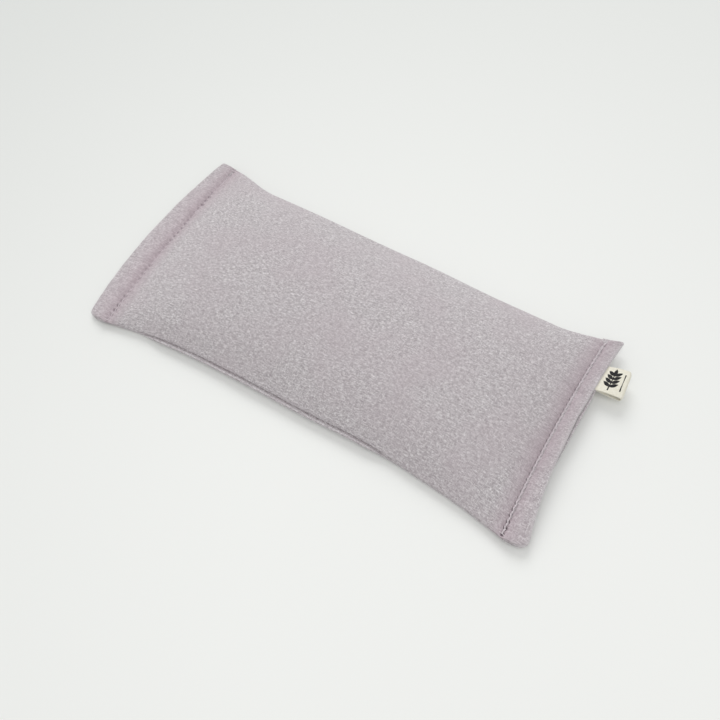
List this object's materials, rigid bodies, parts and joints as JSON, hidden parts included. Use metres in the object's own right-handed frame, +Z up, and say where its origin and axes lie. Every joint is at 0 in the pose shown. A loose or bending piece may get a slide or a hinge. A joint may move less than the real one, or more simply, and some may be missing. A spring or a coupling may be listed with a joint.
{
  "type": "eye pillow",
  "caption": "Flat rectangular seed-filled eye pillow: topstitched cloth cover with end flanges and a folded tape label, round a sewn inner pouch that drapes over the eyes.",
  "frame": {"origin": "middle of the flat underside, halfway between the two flanged ends and between the two long sides", "axes": "+X along the length towards the labelled end, +Y across to the back long side, +Z up out of the crowned top"},
  "size_m": [0.2515, 0.112, 0.021],
  "materials": {
    "cover_cloth": "plain-weave chambray, lilac grey, matt",
    "pouch_muslin": "unbleached cotton muslin, matt",
    "flax_seed": "loose brown seed, slightly glossy",
    "lavender_bud": "dried bud, matt",
    "sewing_thread": "spun polyester thread, slight sheen",
    "label_tape": "woven cotton tape, matt"
  },
  "bodies": {
    "left_half": {"top_panel_left": "cover_cloth", "bottom_panel_left": "cover_cloth", "pouch_top_left": "pouch_muslin", "pouch_bottom_left": "pouch_muslin", "flax_seeds_left": "flax_seed", "lavender_buds_left": "lavender_bud", "front_seam_thread_left": "sewing_thread", "back_seam_thread_left": "sewing_thread", "pouch_seam_thread_left": "sewing_thread", "left_end_seam_thread": "sewing_thread", "left_topstitch_needle_thread": "sewing_thread", "left_topstitch_bobbin_thread": "sewing_thread"},
    "right_half": {"top_panel_right": "cover_cloth", "bottom_panel_right": "cover_cloth", "pouch_top_right": "pouch_muslin", "pouch_bottom_right": "pouch_muslin", "flax_seeds_right": "flax_seed", "lavender_buds_right": "lavender_bud", "front_seam_thread_right": "sewing_thread", "back_seam_thread_right": "sewing_thread", "pouch_seam_thread_right": "sewing_thread", "right_topstitch_needle_thread": "sewing_thread", "right_topstitch_bobbin_thread": "sewing_thread", "label_seam_end": "label_tape"},
    "label": {"label_loop": "label_tape"}
  },
  "joints": [
    {"name": "drape_fold", "type": "hinge", "parent": "left_half", "child": "right_half", "pos_m": [0, 0, 0], "axis": [0, 1, 0], "range_deg": [0, 90]},
    {"name": "label_flap", "type": "hinge", "parent": "right_half", "child": "label", "pos_m": [0.12035, 0.033, 0.005], "axis": [0, 1, 0], "range_deg": [-70, 70], "stiffness_Nm_per_rad": 0.0003}
  ]
}
